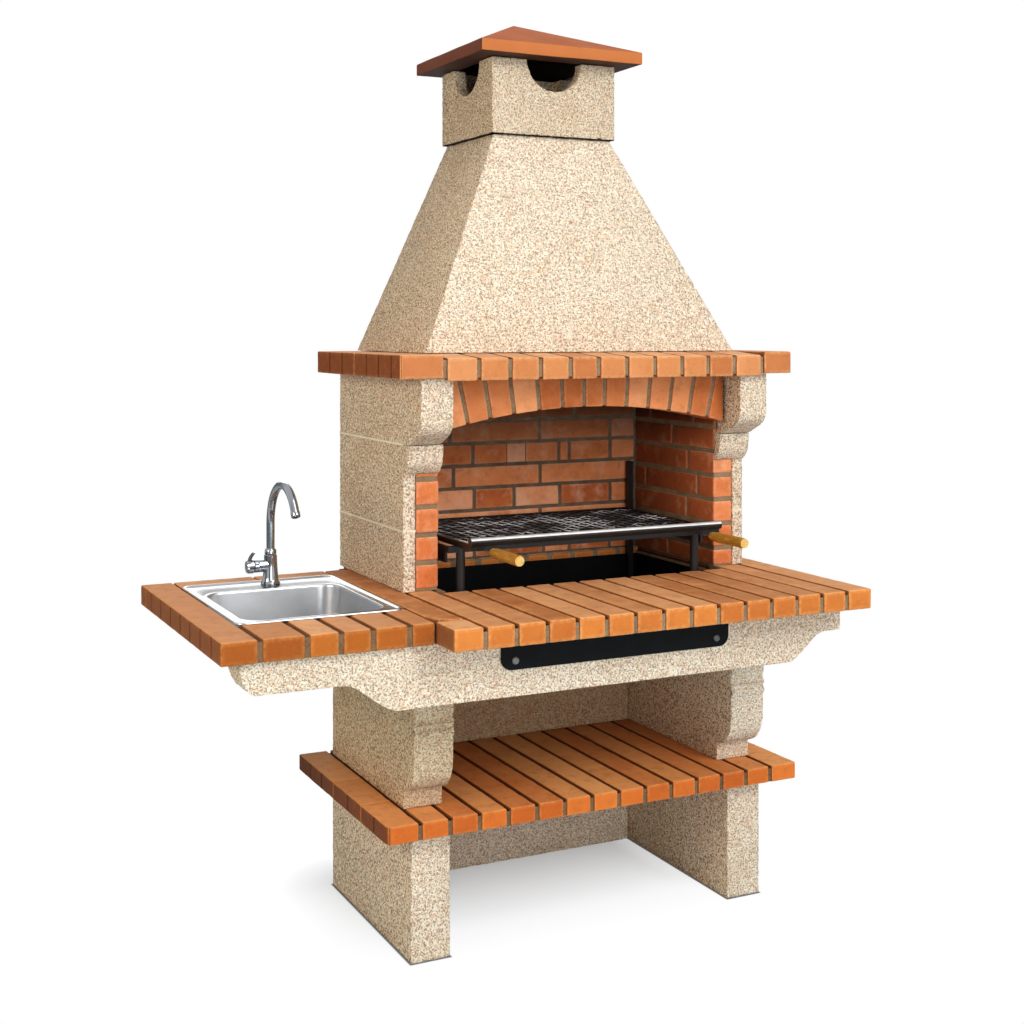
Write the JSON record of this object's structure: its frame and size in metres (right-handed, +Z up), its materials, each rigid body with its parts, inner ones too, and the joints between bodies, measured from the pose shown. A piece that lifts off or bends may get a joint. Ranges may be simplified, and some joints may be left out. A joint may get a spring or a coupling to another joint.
{
  "type": "outdoor masonry barbecue",
  "caption": "Free-standing masonry barbecue with a brick-lined firebox, pull-out grate, hood and chimney, brick worktops and a side counter with a steel sink and mixer tap.",
  "frame": {"origin": "middle of the bounding box on the ground the feet stand on", "axes": "+Z up, +X to the right as seen from the front (the sink counter is on the -X side), -Y towards the person cooking, +Y to the back"},
  "size_m": [1.6612, 1.012, 2.4033],
  "materials": {
    "foot_left": "cast concrete with exposed cream aggregate, matte",
    "foot_right": "cast concrete with exposed cream aggregate, matte",
    "pedestal_left": "cast concrete with exposed cream aggregate, matte",
    "pedestal_right": "cast concrete with exposed cream aggregate, matte",
    "back_panel_lower": "cast concrete with exposed cream aggregate, matte",
    "back_panel_upper": "cast concrete with exposed cream aggregate, matte",
    "counter_trough": "cast concrete with exposed cream aggregate, matte",
    "left_course_1": "cast concrete with exposed cream aggregate, matte",
    "left_course_2": "cast concrete with exposed cream aggregate, matte",
    "left_course_3": "cast concrete with exposed cream aggregate, matte",
    "right_course_1": "cast concrete with exposed cream aggregate, matte",
    "right_course_2": "cast concrete with exposed cream aggregate, matte",
    "right_course_3": "cast concrete with exposed cream aggregate, matte",
    "back_course_1": "cast concrete with exposed cream aggregate, matte",
    "back_course_2": "cast concrete with exposed cream aggregate, matte",
    "back_course_3": "cast concrete with exposed cream aggregate, matte",
    "hood": "cast concrete with exposed cream aggregate, matte",
    "chimney_neck": "cast concrete with exposed cream aggregate, matte",
    "lower_shelf": "fired terracotta brick with recessed grey mortar joints, matte",
    "main_counter": "fired terracotta brick with recessed grey mortar joints, matte",
    "sink_counter": "fired terracotta brick with recessed grey mortar joints, matte",
    "lining_left": "fired terracotta brick with recessed grey mortar joints, matte",
    "lining_right": "fired terracotta brick with recessed grey mortar joints, matte",
    "lining_back": "fired terracotta brick with recessed grey mortar joints, matte",
    "arch": "fired terracotta brick with recessed grey mortar joints, matte",
    "mantel": "fired terracotta brick with recessed grey mortar joints, matte",
    "roof_cap": "smooth terracotta-coloured cap, matte",
    "ember_pan": "black enamelled steel, satin",
    "grill_stand": "black enamelled steel, satin",
    "grate_frame": "black enamelled steel, satin",
    "grate_bars": "black enamelled steel, satin",
    "front_plate": "black enamelled steel, satin",
    "plate_bolt_left": "black enamelled steel, satin",
    "plate_bolt_right": "black enamelled steel, satin",
    "sink_bowl": "brushed stainless steel",
    "sink_drain": "brushed stainless steel",
    "drain_strainer": "brushed stainless steel",
    "handle_tang_left": "brushed stainless steel",
    "handle_tang_right": "brushed stainless steel",
    "tap_body": "polished chrome",
    "tap_nut": "polished chrome",
    "tap_spout": "polished chrome",
    "tap_aerator": "polished chrome",
    "tap_cap": "polished chrome",
    "tap_lever": "polished chrome",
    "wood_grip_left": "turned light hardwood, satin",
    "wood_grip_right": "turned light hardwood, satin",
    "drain_nut": "white moulded plastic, matte"
  },
  "bodies": {
    "masonry": {"foot_left": "foot_left", "foot_right": "foot_right", "pedestal_left": "pedestal_left", "pedestal_right": "pedestal_right", "back_panel_lower": "back_panel_lower", "back_panel_upper": "back_panel_upper", "counter_trough": "counter_trough", "left_course_1": "left_course_1", "left_course_2": "left_course_2", "left_course_3": "left_course_3", "right_course_1": "right_course_1", "right_course_2": "right_course_2", "right_course_3": "right_course_3", "back_course_1": "back_course_1", "back_course_2": "back_course_2", "back_course_3": "back_course_3", "hood": "hood", "chimney_neck": "chimney_neck", "lower_shelf": "lower_shelf", "main_counter": "main_counter", "sink_counter": "sink_counter", "lining_left": "lining_left", "lining_right": "lining_right", "lining_back": "lining_back", "arch": "arch", "mantel": "mantel", "roof_cap": "roof_cap", "ember_pan": "ember_pan", "grill_stand": "grill_stand", "front_plate": "front_plate", "plate_bolt_left": "plate_bolt_left", "plate_bolt_right": "plate_bolt_right", "sink_bowl": "sink_bowl", "sink_drain": "sink_drain", "tap_body": "tap_body", "tap_nut": "tap_nut", "drain_nut": "drain_nut"},
    "grate": {"grate_frame": "grate_frame", "grate_bars": "grate_bars", "handle_tang_left": "handle_tang_left", "handle_tang_right": "handle_tang_right", "wood_grip_left": "wood_grip_left", "wood_grip_right": "wood_grip_right"},
    "spout": {"tap_spout": "tap_spout", "tap_aerator": "tap_aerator"},
    "mixer_cap": {"tap_cap": "tap_cap"},
    "mixer_lever": {"tap_lever": "tap_lever"},
    "strainer": {"drain_strainer": "drain_strainer"}
  },
  "joints": [
    {"name": "grate_pull", "type": "slide", "parent": "masonry", "child": "grate", "axis": [0, -1, 0], "range_m": [0, 0.55]},
    {"name": "spout_swivel", "type": "hinge", "parent": "masonry", "child": "spout", "pos_m": [-0.52865, 0.228, 0.9666], "axis": [0, 0, 1], "range_deg": [-110, 110]},
    {"name": "lever_turn", "type": "hinge", "parent": "masonry", "child": "mixer_cap", "pos_m": [-0.57545, 0.228, 0.9386], "axis": [1, 0, 0], "range_deg": [-45, 45]},
    {"name": "lever_tilt", "type": "hinge", "parent": "mixer_cap", "child": "mixer_lever", "pos_m": [-0.58445, 0.228, 0.9491], "axis": [0, -1, 0], "range_deg": [0, 25]},
    {"name": "strainer_lift", "type": "slide", "parent": "masonry", "child": "strainer", "axis": [0, 0, 1], "range_m": [0, 0.16]}
  ]
}
